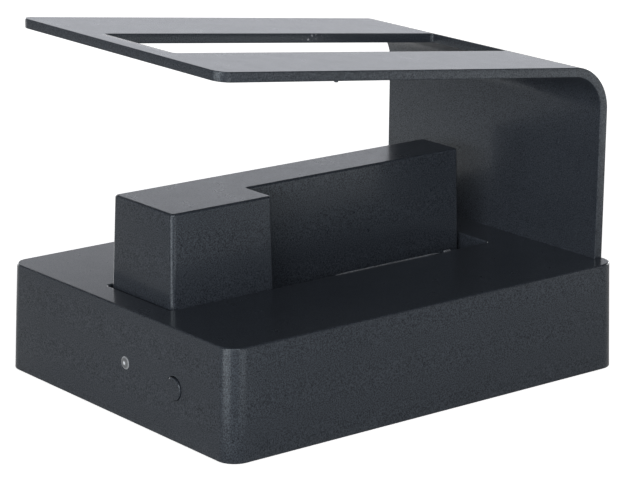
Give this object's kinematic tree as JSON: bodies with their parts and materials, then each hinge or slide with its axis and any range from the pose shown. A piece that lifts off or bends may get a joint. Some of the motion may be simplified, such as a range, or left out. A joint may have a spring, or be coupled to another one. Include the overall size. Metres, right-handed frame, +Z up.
{
  "type": "hard drive docking station",
  "caption": "Low docking base with a slot for an upright drive, a bent guide frame over the slot, a lift-out adapter block for a smaller drive, a push button and an indicator lamp.",
  "frame": {"origin": "middle of the footprint, on the surface that the feet stand on", "axes": "+Z up, -Y towards the front face with the lamp and the button, +X to the right seen from the front"},
  "size_m": [0.097, 0.128, 0.0941],
  "materials": {
    "housing_plastic": "satin black moulded plastic with a fine grain",
    "cover_plastic": "matt black moulded plastic",
    "lamp_lens": "clear cast lens, unlit",
    "foot_rubber": "matt black rubber",
    "board_laminate": "green solder mask",
    "connector_plastic": "black glass-filled plastic",
    "port_plastic": "off-white glass-filled plastic",
    "contact_gold": "gold-plated contacts",
    "plated_steel": "nickel-plated sheet and wire",
    "black_screw": "black zinc-plated screws",
    "chip_epoxy": "black moulded epoxy",
    "ferrite": "dark grey ferrite",
    "can_aluminium": "bare drawn can",
    "resistor_ceramic": "glazed ceramic chips"
  },
  "bodies": {
    "base": {"top_shell": "housing_plastic", "drive_bracket": "housing_plastic", "bottom_cover": "cover_plastic", "status_led": "lamp_lens", "rubber_feet": "foot_rubber", "main_board": "board_laminate", "switch_board": "board_laminate", "switch_header": "connector_plastic", "tact_switch": "connector_plastic", "sata_receptacle": "connector_plastic", "sata_contacts": "contact_gold", "usb_port_shell": "plated_steel", "usb_port_insert": "port_plastic", "usb_contacts": "contact_gold", "dc_jack_body": "connector_plastic", "dc_jack_pin": "plated_steel", "dc_jack_spring": "plated_steel", "led_leads": "plated_steel", "bridge_chip": "chip_epoxy", "bridge_chip_leads": "plated_steel", "flash_chip": "chip_epoxy", "crystal_can": "plated_steel", "power_inductors": "ferrite", "regulator": "chip_epoxy", "electrolytic_capacitors": "can_aluminium", "chip_resistors": "resistor_ceramic", "cover_screws": "plated_steel", "board_screws": "plated_steel", "bracket_screws": "black_screw"},
    "adapter": {"adapter_block": "housing_plastic"},
    "button": {"power_button": "housing_plastic", "switch_plunger": "port_plastic"}
  },
  "joints": [
    {"name": "adapter_lift", "type": "slide", "parent": "base", "child": "adapter", "axis": [0, 0, 1], "range_m": [0, 0.09]},
    {"name": "button_press", "type": "slide", "parent": "base", "child": "button", "axis": [0, 1, 0], "range_m": [0, 0.0006], "stiffness_N_per_m": 400}
  ]
}
